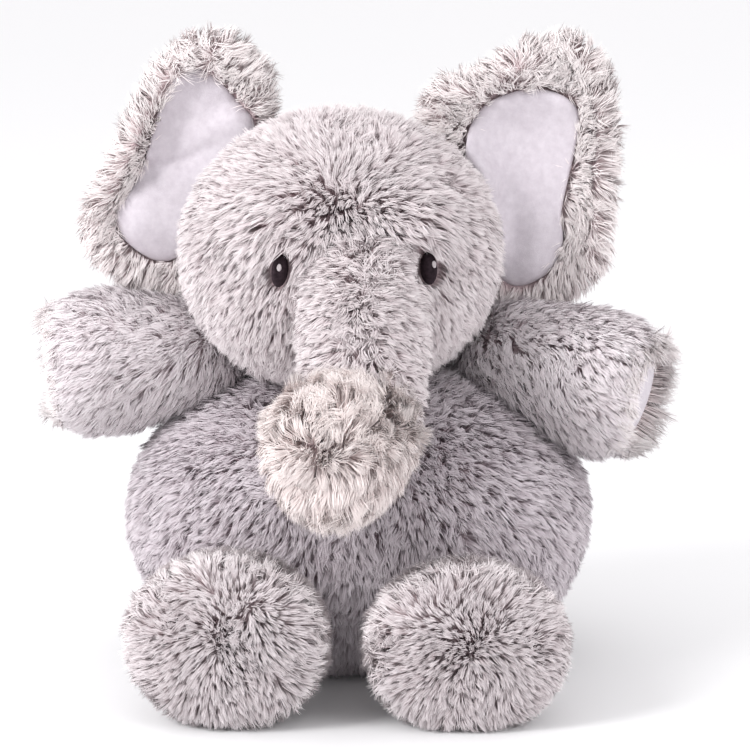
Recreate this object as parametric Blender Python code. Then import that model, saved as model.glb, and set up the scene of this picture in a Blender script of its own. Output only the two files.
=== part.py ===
"""A seated plush elephant, 0.3 m tall: pile-fabric covers, fibre stuffing, embroidered eyes and sewn joints.

The toy faces -Y with +Z up. "Left" and "right" are the toy's own, so its left side is +X.
Every solid stands at the middle of the pile: the fabric backing and the dense foot of the fur.
"""
import math

import bmesh
import bpy
from mathutils import Matrix, Vector

MM = 0.001
GAP = 0.3 * MM            # between two pieces that touch
SKIN = 3 * MM             # backing and foot of the pile, sewn as one cover
MIDDLE = Vector((-1 * MM, 18.4 * MM, 0))   # brings the middle of the box to the origin

# Body: an egg that sits on a flat seat.
BODY_CENTRE = Vector((3 * MM, 0, 67 * MM))
BODY_RADII = (104 * MM, 84 * MM, 69 * MM)
BODY_DEPTH_BELOW = 79 * MM         # the lower half would reach this far down, and the seat cuts it flat
BODY_BACK_SEAM = 20 * MM           # side seams, this far behind the middle

# Pellet bag: a low cushion that fills the seat of the body up to here.
PELLET_TOP = 18 * MM

# Head: a wide egg, carried by a neck plug that turns in the body and rocks in the head.
HEAD_CENTRE = Vector((-5 * MM, -14 * MM, 188 * MM))
HEAD_RADII = (70 * MM, 58 * MM, 61 * MM)
HEAD_BACK_SEAM = 14 * MM
HEAD_SEAM_X = 2 * MM
NECK = Vector((0, 2 * MM, 139 * MM))
NECK_BALL = 18 * MM
NECK_STUB = 14 * MM
NECK_FOOT = 103 * MM
NECK_OPENING = 27 * MM
HEAD_NEST_CENTRE = Vector((0, -6 * MM, 191 * MM))
HEAD_NEST_RADII = (80 * MM, 76 * MM, 69 * MM)

# Trunk: three lengths that hang down and curl forward.
TRUNK_START = Vector((5 * MM, -48 * MM, 186 * MM))
TRUNK_BEND = Vector((6 * MM, -83 * MM, 161 * MM))
TRUNK_CURL = Vector((4 * MM, -98 * MM, 123 * MM))
TRUNK_TIP = Vector((-12 * MM, -131 * MM, 113 * MM))
TRUNK_RADII = (28 * MM, 25 * MM, 23 * MM, 25 * MM)
TRUNK_BEND_REACH = math.radians(34)
TRUNK_CURL_REACH = math.radians(66)

# Ears: flat padded flaps whose roots lie on the back of the head's sides.
EAR_PLANE = 20 * MM
EAR_THICK = 10 * MM
EAR_WALL = 4 * MM
LINING_THICK = 2 * MM
LINING_SHARE = 0.72        # the lining's outline against the ear's
LINING_TO_ROOT = 0.45      # how far towards the ear's root the lining is drawn
EAR_LEFT = ((36, 247), (60, 262), (88, 277), (111, 273), (119, 246),
            (118, 208), (114, 181), (98, 170), (75, 172))
EAR_RIGHT = ((-41, 253), (-43, 274), (-59, 282), (-89, 264), (-110, 224),
             (-121, 196), (-106, 175), (-85, 173))

# Arms: cones that widen from a round shoulder to a padded paw.
SHOULDER = Vector((71 * MM, 0, 139 * MM))
ARM_LEFT_END = Vector((138 * MM, -21 * MM, 121 * MM))
ARM_RIGHT_END = Vector((-141 * MM, 4 * MM, 133 * MM))
ARM_PROFILE = ((0, 15), (10, 18), (26, 25), (46, 29.5), (62, 29.5), (70, 27.5), (73, 24))
PAW_DEPTH = 4 * MM
PAW_RADIUS = 20 * MM

# Legs: short drums on round hips, wider than they are high, with flat fur soles.
HIP = Vector((47 * MM, -75 * MM, 33 * MM))
RIGHT_LEG_RAISED = 3 * MM
LEG_TURN = (math.radians(3), math.radians(-7))     # how far the left and the right foot point outwards
LEG_PROFILE = ((0, 21), (8, 23.5), (18, 32), (27, 38.5), (40, 40.5), (50, 40), (56, 37.5))
LEG_FLATTENED = 0.84
SOLE_RADIUS = 34 * MM
SOLE_DEPTH = 4 * MM

# Eyes: raised satin-stitch ovals.
EYE_LEFT = Vector((35.5 * MM, 0, 188.5 * MM))
EYE_RIGHT = Vector((-32 * MM, 0, 188 * MM))
EYE_SIZE = (3.6 * MM, 1.1 * MM, 7.0 * MM)

# Tail: a thin stuffed tube at the back of the seat.
TAIL_ROOT = Vector((0, 82 * MM, 48 * MM))
TAIL_TIP = Vector((0, 100 * MM, 20 * MM))
TAIL_RADIUS = 7 * MM

BLOCK = 400 * MM          # half the side of a seam's cutting block
BORE_PLAY = 1.5 * MM      # round the neck stub in its hole
TUNNEL_RADIUS = TRUNK_RADII[0] - 6 * MM    # through the face, where head and trunk stuffing meet
PLUG_END = 1 * MM         # the stuffing of a trunk length stops this far short of its cover
COARSE = 12
FINE = 20
ROOM = 1.8 * MM           # clearance between a round root and the hollow it turns in


def clear_scene():
    for obj in list(bpy.data.objects):
        bpy.data.objects.remove(obj)


def material(name, colour, roughness):
    made = bpy.data.materials.new(name)
    made.use_nodes = True
    shader = made.node_tree.nodes["Principled BSDF"]
    shader.inputs["Base Color"].default_value = (*colour, 1)
    shader.inputs["Roughness"].default_value = roughness
    shader.inputs["Metallic"].default_value = 0
    return made


def finish(name, bm, surface):
    """Turns the mesh into an object with its own material, shaded smooth."""
    bmesh.ops.recalc_face_normals(bm, faces=bm.faces)
    mesh = bpy.data.meshes.new(name)
    bm.to_mesh(mesh)
    bm.free()
    mesh.shade_smooth()
    mesh.set_sharp_from_angle(angle=math.radians(40))
    obj = bpy.data.objects.new(name, mesh)
    bpy.context.scene.collection.objects.link(obj)
    colour, roughness = surface
    mesh.materials.append(material(name + "_material", colour, roughness))
    return obj


def cutter(name, bm):
    obj = finish(name, bm, PLAIN)
    obj.hide_render = True
    obj.display_type = "WIRE"
    return obj


def cut(obj, *tools):
    for tool in tools:
        modifier = obj.modifiers.new("cut", "BOOLEAN")
        modifier.operation = "DIFFERENCE"
        modifier.solver = "EXACT"
        modifier.object = tool


def egg(centre, radii, inset=0.0, below=None, segments=FINE):
    """An ellipsoid, drawn in by inset. With below, its lower half has that depth instead."""
    bm = bmesh.new()
    bmesh.ops.create_uvsphere(bm, u_segments=segments, v_segments=segments // 2, radius=1)
    for vert in bm.verts:
        depth = below if below is not None and vert.co.z < 0 else radii[2]
        vert.co.x *= radii[0] - inset
        vert.co.y *= radii[1] - inset
        vert.co.z *= depth - inset
        vert.co += centre
    return bm


def ball(name, centre, radius, segments=COARSE):
    return cutter(name, egg(centre, (radius,) * 3, segments=segments))


def flatten_seat(bm, height):
    for vert in bm.verts:
        vert.co.z = max(vert.co.z, height)


def beyond(name, point, normal):
    """A block that takes away what lies on the far side of a seam, and half a gap more."""
    bm = bmesh.new()
    bmesh.ops.create_cube(bm, size=2 * BLOCK)
    normal = Vector(normal)
    bm.transform(Matrix.Translation(Vector(point) + normal * (GAP / 2 - BLOCK)))
    return cutter(name, bm)


def along(start, end, roll=0.0, height=1.0):
    """A matrix whose +Z runs from start to end, and which shrinks the shape to this share of its height."""
    turn = (end - start).to_track_quat("Z", "Y").to_matrix().to_4x4()
    return Matrix.Translation(start) @ turn @ Matrix.Diagonal((1, height, 1, 1)) @ Matrix.Rotation(roll, 4, "Z")


def smooth(points, steps=3):
    """Points on a Catmull-Rom curve through the given ones."""
    ends = [points[0], *points, points[-1]]
    made = []
    for a, b, c, d in zip(ends, ends[1:], ends[2:], ends[3:]):
        for i in range(steps):
            t = i / steps
            made.append(tuple(
                0.5 * (2 * q + (r - p) * t + (2 * p - 5 * q + 4 * r - s) * t * t + (3 * q - p - 3 * r + s) * t ** 3)
                for p, q, r, s in zip(a, b, c, d)))
    return made + [tuple(points[-1])]


def turned(profile, place, segments=COARSE):
    """A closed shape of revolution. The profile is a list of (along, radius) and ends on the axis or closes."""
    bm = bmesh.new()
    rings = []
    for z, r in profile:
        if r < 1e-6:
            rings.append([bm.verts.new(place @ Vector((0, 0, z)))])
            continue
        angles = [2 * math.pi * i / segments for i in range(segments)]
        rings.append([bm.verts.new(place @ Vector((r * math.cos(a), r * math.sin(a), z))) for a in angles])
    pairs = list(zip(rings, rings[1:]))
    if len(rings[0]) > 1:
        pairs.append((rings[-1], rings[0]))
    for one, two in pairs:
        for i in range(segments):
            j = (i + 1) % segments
            corners = [one[i % len(one)], one[j % len(one)], two[j % len(two)], two[i % len(two)]]
            bm.faces.new(list(dict.fromkeys(corners)))
    return bm


def offset(profile, inset):
    """The same profile drawn in by inset, square to its own run."""
    made = []
    for i, (z, r) in enumerate(profile):
        z0, r0 = profile[max(i - 1, 0)]
        z1, r1 = profile[min(i + 1, len(profile) - 1)]
        run = Vector((z1 - z0, r1 - r0)).normalized()
        made.append((z + run.y * inset, r - run.x * inset))
    return made


def dome(radius, inset=0.0, steps=4):
    """The round root of a limb: a quarter circle from the axis, below the joint, up to the limb's side."""
    r = radius - inset
    return [(-r * math.cos(a), r * math.sin(a)) for a in (math.pi / 2 * i / steps for i in range(steps))]


def limb(names, profile_mm, place, mouth, surfaces):
    """A cover with a round root and an open end, its stuffing, and the disc that closes the end."""
    cover_name, stuffing_name, disc_name = names
    disc_depth, disc_radius = mouth
    outer = [(z * MM, r * MM) for z, r in profile_mm]
    length = outer[-1][0]
    inner = offset(outer, SKIN)
    mouth_z = length - 0.2 * MM
    inner = [(z, r) for z, r in inner if z < length - disc_depth - 2 * MM]
    rim = disc_radius + GAP
    lip = [(length, rim), (length - disc_depth, rim)]
    inner.append((length - disc_depth - GAP, min(inner[-1][1], rim + 1 * MM)))
    root = dome(outer[0][1])
    hollow = dome(outer[0][1], SKIN)
    cover = root + outer + lip + inner[::-1] + hollow[::-1]
    finish(cover_name, turned(cover, place), surfaces[0])
    core = dome(outer[0][1], SKIN + GAP) + [(z, r - GAP) for z, r in inner[:-1]]
    core.append((length - disc_depth - 2 * GAP, inner[-1][1] - 1.5 * MM))
    core.append((length - disc_depth - 2 * GAP, 0))
    finish(stuffing_name, turned(core, place), surfaces[1])
    disc = [(length - disc_depth, 0), (length - disc_depth, disc_radius), (mouth_z, disc_radius),
            (mouth_z + 1 * MM, disc_radius - 4 * MM), (mouth_z + 1.6 * MM, 0)]
    finish(disc_name, turned(disc, place), surfaces[2])


FUR = ((0.46, 0.42, 0.43), 0.95)
CREAM_FUR = ((0.74, 0.69, 0.66), 0.95)
VELBOA = ((0.84, 0.80, 0.84), 0.85)
FIBRE = ((0.93, 0.93, 0.92), 1.0)
PELLETS = ((0.80, 0.81, 0.82), 0.6)
THREAD = ((0.030, 0.018, 0.020), 0.4)
PLAIN = ((0.5, 0.5, 0.5), 0.8)


def hip_of(side):
    if side == "left":
        return HIP.copy()
    return Vector((-HIP.x, HIP.y, HIP.z + RIGHT_LEG_RAISED))


def body():
    nest = cutter("head_nest", egg(HEAD_NEST_CENTRE, HEAD_NEST_RADII))
    neck_hole = cutter("neck_hole", turned(
        [(0, 0), (0, NECK_STUB + BORE_PLAY), (80 * MM, NECK_STUB + BORE_PLAY), (80 * MM, 0)],
        along(Vector((NECK.x, NECK.y, NECK_FOOT - 1 * MM)), NECK)))
    roots = [nest, neck_hole]
    for side, x in (("left", 1), ("right", -1)):
        shoulder = Vector((x * SHOULDER.x, SHOULDER.y, SHOULDER.z))
        hip = hip_of(side)
        roots.append(ball(f"shoulder_room_{side}", shoulder, ARM_PROFILE[0][1] * MM + ROOM))
        roots.append(ball(f"hip_room_{side}", hip, LEG_PROFILE[0][1] * MM + ROOM))
    roots.append(ball("tail_room", TAIL_ROOT, TAIL_RADIUS + ROOM))
    lumen = egg(BODY_CENTRE, BODY_RADII, SKIN, BODY_DEPTH_BELOW)
    flatten_seat(lumen, SKIN)
    lumen = cutter("body_lumen", lumen)
    front = beyond("body_behind", (0, BODY_BACK_SEAM, 0), (0, -1, 0))
    seams = {
        "body_cover_front_left": (front, beyond("body_right_half", (0, 0, 0), (1, 0, 0))),
        "body_cover_front_right": (front, beyond("body_left_half", (0, 0, 0), (-1, 0, 0))),
        "body_cover_back": (beyond("body_before", (0, BODY_BACK_SEAM, 0), (0, 1, 0)),),
    }
    for name, halves in seams.items():
        bm = egg(BODY_CENTRE, BODY_RADII, below=BODY_DEPTH_BELOW)
        flatten_seat(bm, 0)
        cut(finish(name, bm, FUR), *halves, lumen, *roots)
    level = (0, 0, PELLET_TOP)
    fillings = {
        "body_stuffing": (FIBRE, beyond("below_pellets", level, (0, 0, 1))),
        "pellet_bag": (PELLETS, beyond("above_pellets", level, (0, 0, -1))),
    }
    for name, (surface, half) in fillings.items():
        bm = egg(BODY_CENTRE, BODY_RADII, SKIN + GAP, BODY_DEPTH_BELOW)
        flatten_seat(bm, SKIN + GAP)
        cut(finish(name, bm, surface), half, *roots)


def neck():
    points = [(NECK_FOOT, 0), (NECK_FOOT, NECK_STUB)]
    start = math.asin(NECK_STUB / NECK_BALL)
    for i in range(7):
        a = math.pi - start - (math.pi - start) * i / 6
        points.append((NECK.z + NECK_BALL * math.cos(a), NECK_BALL * math.sin(a)))
    points[-1] = (points[-1][0], 0)
    finish("neck_stuffing", turned(points, Matrix.Translation((NECK.x, NECK.y, 0))), FIBRE)


def head():
    socket = ball("neck_socket", NECK, NECK_BALL + ROOM)
    opening = cutter("neck_opening", turned(
        [(0, 0), (0, NECK_OPENING), (NECK_BALL, NECK_STUB), (NECK_BALL, 0)],
        along(NECK - Vector((0, 0, NECK_BALL)), NECK)))
    tunnel = cutter("trunk_tunnel", turned(
        [(0, 0), (0, TUNNEL_RADIUS), (60 * MM, TUNNEL_RADIUS), (60 * MM, 0)],
        along(TRUNK_START, TRUNK_BEND)))
    lumen = cutter("head_lumen", egg(HEAD_CENTRE, HEAD_RADII, SKIN))
    front = beyond("head_behind", (0, HEAD_BACK_SEAM, 0), (0, -1, 0))
    seams = {
        "head_cover_left": (front, beyond("head_right_half", (HEAD_SEAM_X, 0, 0), (1, 0, 0))),
        "head_cover_right": (front, beyond("head_left_half", (HEAD_SEAM_X, 0, 0), (-1, 0, 0))),
        "head_cover_back": (beyond("head_before", (0, HEAD_BACK_SEAM, 0), (0, 1, 0)),),
    }
    for name, halves in seams.items():
        cut(finish(name, egg(HEAD_CENTRE, HEAD_RADII), FUR), lumen, *halves, opening, tunnel, socket)
    stuffing = finish("head_stuffing", egg(HEAD_CENTRE, HEAD_RADII, SKIN + GAP), FIBRE)
    cut(stuffing, socket, opening, tunnel)
    for side, eye in (("left", EYE_LEFT), ("right", EYE_RIGHT)):
        out = Vector(((eye.x - HEAD_CENTRE.x) / HEAD_RADII[0], 0, (eye.z - HEAD_CENTRE.z) / HEAD_RADII[2]))
        front = -math.sqrt(1 - out.length_squared)
        spot = Vector((eye.x, HEAD_CENTRE.y + HEAD_RADII[1] * front, eye.z))
        normal = Vector((out.x / HEAD_RADII[0], front / HEAD_RADII[1], out.z / HEAD_RADII[2])).normalized()
        place = Matrix.Translation(spot + normal * 0.9 * MM) @ normal.to_track_quat("-Y", "Z").to_matrix().to_4x4()
        bm = egg(Vector(), EYE_SIZE, segments=COARSE)
        for vert in bm.verts:
            vert.co.y = min(vert.co.y, 0)
        bmesh.ops.remove_doubles(bm, verts=bm.verts, dist=1e-6)
        bm.transform(place)
        bmesh.ops.dissolve_degenerate(bm, edges=bm.edges, dist=1e-6)
        finish(f"eye_{side}", bm, THREAD)


def tube(start, end, radii, end_cut, wall, inset=0.0):
    """A straight length of trunk from a round root at start, cut square short of the next joint."""
    length = (end - start).length - end_cut
    first, last = radii
    side = [(length * i / 4, (first + (last - first) * i / 4) - inset) for i in range(5)]
    side[-1] = (length - (PLUG_END if inset else 0), side[-1][1])
    outer = dome(first, inset) + side
    if not wall:
        return outer + [(side[-1][0], 0)]
    inner = [(z, r - wall) for z, r in side]
    return outer + inner[::-1] + dome(first, inset + wall)[::-1]


def trunk():
    bend_room = ball("trunk_bend_room", TRUNK_BEND, TRUNK_RADII[1] + ROOM)
    curl_room = ball("trunk_curl_room", TRUNK_CURL, TRUNK_RADII[2] + ROOM)
    face = cutter("face_room", egg(HEAD_CENTRE, HEAD_RADII, -GAP))
    place = along(TRUNK_START, TRUNK_BEND)
    base_cut = TRUNK_RADII[1] * math.sin(TRUNK_BEND_REACH)
    length = (TRUNK_BEND - TRUNK_START).length - base_cut
    wide, narrow = TRUNK_RADII[0], TRUNK_RADII[1] + 1.5 * MM
    ring = [(0, wide), (length, narrow), (length, narrow - SKIN), (0, wide - SKIN)]
    cut(finish("trunk_base_cover", turned(ring, place), FUR), face, bend_room)
    core = TUNNEL_RADIUS - 2 * GAP
    plug = [(2 * MM, 0), (2 * MM, core), (length - PLUG_END, core), (length - PLUG_END, 0)]
    cut(finish("trunk_base_stuffing", turned(plug, place), FIBRE), bend_room)

    place = along(TRUNK_BEND, TRUNK_CURL)
    middle_cut = TRUNK_RADII[2] * math.sin(TRUNK_CURL_REACH)
    cover = tube(TRUNK_BEND, TRUNK_CURL, TRUNK_RADII[1:3], middle_cut, SKIN)
    fill = tube(TRUNK_BEND, TRUNK_CURL, TRUNK_RADII[1:3], middle_cut, 0, SKIN + GAP)
    cut(finish("trunk_middle_cover", turned(cover, place), FUR), curl_room)
    cut(finish("trunk_middle_stuffing", turned(fill, place), FIBRE), curl_room)

    profile = [(0, TRUNK_RADII[2] / MM), (12, 23.4), (24, 24.4), (33, TRUNK_RADII[3] / MM), (37.5, 22)]
    limb(("trunk_end_cover", "trunk_end_stuffing", "trunk_tip_disc"), profile, along(TRUNK_CURL, TRUNK_TIP),
         (4 * MM, 17 * MM), (FUR, FIBRE, CREAM_FUR))


def outline(points_mm, share=1.0, steps=3):
    """A smooth closed outline through the points in the plane of the ear, shrunk to a share towards its root."""
    count = len(points_mm)
    looped = [points_mm[(i - 1) % count] for i in range(count + 3)]
    flat = []
    for i in range(count):
        flat += smooth(looped[i:i + 4], steps)[steps:2 * steps]
    flat = [Vector(p) * MM for p in flat]
    middle = sum(flat, Vector((0, 0))) / len(flat)
    root = (Vector(points_mm[0]) + Vector(points_mm[-1])) * MM / 2
    anchor = middle.lerp(root, LINING_TO_ROOT)
    return [anchor + (p - anchor) * share for p in flat]


def slab(points, front, back, bulge=0.0):
    """A plate with the given outline, from front to back along Y, its edge drawn in by bulge at both faces."""
    bm = bmesh.new()
    middle = sum(points, Vector((0, 0))) / len(points)
    layers = [(front, bulge), (front + 0.25 * (back - front), 0), (back - 0.25 * (back - front), 0), (back, bulge)]
    rings = []
    for y, draw in layers:
        ring = [p + (middle - p).normalized() * draw for p in points]
        rings.append([bm.verts.new((p.x, y, p.y)) for p in ring])
    count = len(points)
    for one, two in zip(rings, rings[1:]):
        for i in range(count):
            bm.faces.new((one[i], one[(i + 1) % count], two[(i + 1) % count], two[i]))
    bm.faces.new(rings[0][::-1])
    bm.faces.new(rings[-1])
    return bm


def ear(side, shape):
    front = EAR_PLANE - EAR_THICK / 2
    back = EAR_PLANE + EAR_THICK / 2
    pile = finish(f"ear_{side}_back", slab(outline(shape), front, back, 2 * MM), FUR)
    pocket_back = back - EAR_WALL
    pocket = cutter(f"ear_{side}_pocket", slab(outline(shape, LINING_SHARE), front - 5 * MM, pocket_back))
    cut(pile, pocket)
    inner = outline(shape, LINING_SHARE - 0.015)
    finish(f"ear_{side}_wadding", slab(inner, front + LINING_THICK + GAP, pocket_back - GAP), FIBRE)
    finish(f"ear_{side}_lining", slab(inner, front, front + LINING_THICK), VELBOA)


def arms():
    for side, end in (("left", ARM_LEFT_END), ("right", ARM_RIGHT_END)):
        x = 1 if side == "left" else -1
        shoulder = Vector((x * SHOULDER.x, SHOULDER.y, SHOULDER.z))
        limb((f"arm_{side}_cover", f"arm_{side}_stuffing", f"paw_pad_{side}"), ARM_PROFILE, along(shoulder, end),
             (PAW_DEPTH, PAW_RADIUS), (FUR, FIBRE, VELBOA))


def legs():
    for side, turn in (("left", LEG_TURN[0]), ("right", LEG_TURN[1])):
        hip = hip_of(side)
        toe = hip + Vector((math.sin(turn), -math.cos(turn), 0)) * 60 * MM
        place = along(hip, toe, math.pi / COARSE, LEG_FLATTENED)
        limb((f"leg_{side}_cover", f"leg_{side}_stuffing", f"foot_sole_{side}"), LEG_PROFILE, place,
             (SOLE_DEPTH, SOLE_RADIUS), (FUR, FIBRE, FUR))


def tail():
    place = along(TAIL_ROOT, TAIL_TIP)
    length = (TAIL_TIP - TAIL_ROOT).length
    wall = 2 * MM
    taper = [(length * i / 3, TAIL_RADIUS - 1.5 * MM * i / 3) for i in range(4)]
    tip = [(length, TAIL_RADIUS - 1.5 * MM - wall)]
    inner = [(z, r - wall) for z, r in taper[:-1]]
    cover = dome(TAIL_RADIUS, steps=3) + taper + tip + inner[::-1] + dome(TAIL_RADIUS, wall, 3)[::-1]
    finish("tail_cover", turned(cover, place, 12), FUR)
    core = dome(TAIL_RADIUS, wall + GAP, 3) + [(z, r - wall - GAP) for z, r in taper[:-1]]
    core += [(length - 1 * MM, TAIL_RADIUS - 1.5 * MM - wall - 2 * GAP), (length - 1 * MM, 0)]
    finish("tail_stuffing", turned(core, place, 12), FIBRE)


def hang_on_joints():
    """Every piece hangs on an empty at the joint that carries it. The torso's empty moves the whole toy,
    so that the origin is under the middle of its box."""
    ear_roots = {side: (Vector(shape[0]) + Vector(shape[-1])) * MM / 2
                 for side, shape in (("left", EAR_LEFT), ("right", EAR_RIGHT))}
    joints = {
        "neck": ("torso", NECK, ("neck_",)),
        "head": ("neck", NECK, ("head_", "eye_", "trunk_base_")),
        "trunk_middle": ("head", TRUNK_BEND, ("trunk_middle_",)),
        "trunk_end": ("trunk_middle", TRUNK_CURL, ("trunk_end_", "trunk_tip_")),
        "tail": ("torso", TAIL_ROOT, ("tail_",)),
    }
    for side, x in (("left", 1), ("right", -1)):
        root = ear_roots[side]
        shoulder = Vector((x * SHOULDER.x, SHOULDER.y, SHOULDER.z))
        joints[f"ear_{side}"] = ("head", Vector((root.x, EAR_PLANE, root.y)), (f"ear_{side}_",))
        joints[f"arm_{side}"] = ("torso", shoulder, (f"arm_{side}_", f"paw_pad_{side}"))
        joints[f"leg_{side}"] = ("torso", hip_of(side), (f"leg_{side}_", f"foot_sole_{side}"))
    pieces = [obj for obj in bpy.data.objects if obj.type == "MESH"]
    torso = bpy.data.objects.new("torso", None)
    torso.location = MIDDLE
    bpy.context.scene.collection.objects.link(torso)
    empties = {"torso": (torso, Vector())}
    for name, (parent, spot, prefixes) in joints.items():
        above, above_spot = empties[parent]
        empty = bpy.data.objects.new(name + "_joint", None)
        bpy.context.scene.collection.objects.link(empty)
        empty.parent = above
        empty.location = spot - above_spot
        empties[name] = (empty, spot)
        for obj in pieces:
            if obj.parent is None and obj.name.startswith(prefixes):
                obj.parent = empty
                obj.location = -spot
    for obj in pieces:
        if obj.parent is None:
            obj.parent = torso


clear_scene()
body()
neck()
head()
trunk()
ear("left", EAR_LEFT)
ear("right", EAR_RIGHT)
arms()
legs()
tail()
hang_on_joints()
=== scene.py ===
"""The looks of a seated plush elephant: long grey pile, velboa ear linings and paw pads, stitched eyes."""
import math

import bmesh
import bpy
import numpy as np
from mathutils import Matrix, Vector
from mathutils.kdtree import KDTree
from mathutils.noise import noise_vector, seed_set


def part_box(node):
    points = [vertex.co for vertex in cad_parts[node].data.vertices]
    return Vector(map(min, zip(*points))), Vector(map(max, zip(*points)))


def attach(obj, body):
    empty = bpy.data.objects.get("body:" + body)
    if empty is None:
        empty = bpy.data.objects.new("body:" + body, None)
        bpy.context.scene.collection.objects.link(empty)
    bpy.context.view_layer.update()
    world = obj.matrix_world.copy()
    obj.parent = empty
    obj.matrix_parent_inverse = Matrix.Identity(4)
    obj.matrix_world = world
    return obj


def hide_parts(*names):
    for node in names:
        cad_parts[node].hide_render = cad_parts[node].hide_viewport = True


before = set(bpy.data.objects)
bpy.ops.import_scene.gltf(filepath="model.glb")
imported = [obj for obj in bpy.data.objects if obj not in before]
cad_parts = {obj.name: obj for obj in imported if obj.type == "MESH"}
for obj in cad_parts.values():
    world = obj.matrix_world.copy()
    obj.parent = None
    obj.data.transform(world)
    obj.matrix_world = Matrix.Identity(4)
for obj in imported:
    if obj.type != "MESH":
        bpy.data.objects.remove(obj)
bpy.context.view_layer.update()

# ---- The table and the light -----------------------------------------------------------------------
# A plain pale floor under a bright even sky, one large soft lamp from the upper left and a weak one
# from the right.
MM = 0.001
MIDDLE = Vector((-0.001, 0.0184, 0))     # the toy's own axis, from the middle of its box


def here(x, y, z):
    """A place given in millimetres from the toy's own axis on the floor."""
    return Vector((x, y, z)) * MM + MIDDLE


bpy.ops.object.select_all(action="DESELECT")
bpy.ops.mesh.primitive_plane_add(size=30)
floor = bpy.context.object
floor.name = "floor"
floor_paint = bpy.data.materials.new("floor_paint")
floor_paint.use_nodes = True
floor_shader = floor_paint.node_tree.nodes["Principled BSDF"]
floor_shader.inputs["Base Color"].default_value = (0.90, 0.90, 0.91, 1)
floor_shader.inputs["Roughness"].default_value = 0.6
floor_shader.inputs["Specular IOR Level"].default_value = 0.2
floor.data.materials.append(floor_paint)

sky = bpy.data.worlds.new("studio")
sky.use_nodes = True
sky.node_tree.nodes["Background"].inputs["Color"].default_value = (1.0, 0.99, 1.0, 1)
sky.node_tree.nodes["Background"].inputs["Strength"].default_value = 1.05
bpy.context.scene.world = sky


def lamp(name, place, aim, size, power):
    """A round soft lamp that shines at aim."""
    bpy.ops.object.light_add(type="AREA", location=place)
    made = bpy.context.object
    made.name = name
    made.data.shape = "DISK"
    made.data.size = size
    made.data.energy = power
    made.rotation_euler = (aim - Vector(place)).to_track_quat("-Z", "Y").to_euler()


lamp("key_lamp", (-1.5, -1.1, 1.3), here(0, 0, 150), 0.8, 31)
lamp("fill_lamp", (1.5, -1.2, 0.9), here(0, 0, 130), 1.2, 8)

AIM = here(10.5, 0, 129.4)
DISTANCE = 1.4
LOOKING_DOWN = math.radians(10)
LENS, FILM_WIDTH = 147.7, 36             # in millimetres
viewpoint = AIM + Vector((0, -math.cos(LOOKING_DOWN), math.sin(LOOKING_DOWN))) * DISTANCE
bpy.ops.object.camera_add(location=viewpoint)
camera = bpy.context.object
camera.rotation_euler = (AIM - viewpoint).to_track_quat("-Z", "Y").to_euler()
camera.data.lens = LENS
camera.data.sensor_width = FILM_WIDTH
bpy.context.scene.camera = camera
bpy.context.scene.view_settings.view_transform = "Standard"


# ---- Body ------------------------------------------------------------------------------------------
# A stuffed egg on a flat seat, sewn from two front panels and a back panel of long-pile fabric. The
# knitted backing is a padded skin, and the pile is a piece for each panel that rides with it.
BODY = here(3, 0, 67)
BODY_RADII = Vector((100.5, 80.5, 65.5)) * MM
BODY_BELOW = 1.16                        # the lower half is this much deeper than the upper one
SEAT_LEVEL = 1.5 * MM                    # the skin of the seat is this far above the floor
FRONT_SEAM_DEPTH, FRONT_SEAM_WIDTH, FRONT_SEAM_TOP = 9 * MM, 10 * MM, 80 * MM
BODY_SIDE_SEAM = MIDDLE.y + 20 * MM
BODY_PILE_LENGTH = 10.5                  # in millimetres, as every length of pile is
FRONT_DENSITY, BACK_DENSITY = 272, 160   # strands on each square centimetre
BEND_AT = 0.62                           # where along its length a strand of pile bends over
ROOT_DEPTH = 0.4 * MM                    # strands start this far under the skin
LOWEST_PILE = 0.3 * MM                   # and none comes nearer to the floor than this
SAG = 0.12                               # how much the ends of the strands droop
SWIRL_SCALE = 65                         # the combing wanders over about 15 mm
seed_set(4)                              # and wanders alike in every run
SLANT = (0.73, 0.41, 0.55)               # faces are sown in order along this, so that every run is alike


class Wire:
    """What leaves a shader node. Sums and products of wires add their own Math nodes."""

    def __init__(self, finish, socket):
        self.finish, self.socket = finish, socket

    def maths(self, operation, *terms):
        return self.finish.node("ShaderNodeMath", {"operation": operation}, terms)

    def __add__(self, other):
        return self.maths("ADD", self, other)

    __radd__ = __add__

    def __sub__(self, other):
        return self.maths("SUBTRACT", self, other)

    def __rsub__(self, other):
        return self.maths("SUBTRACT", other, self)

    def __mul__(self, other):
        return self.maths("MULTIPLY", self, other)

    __rmul__ = __mul__


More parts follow.
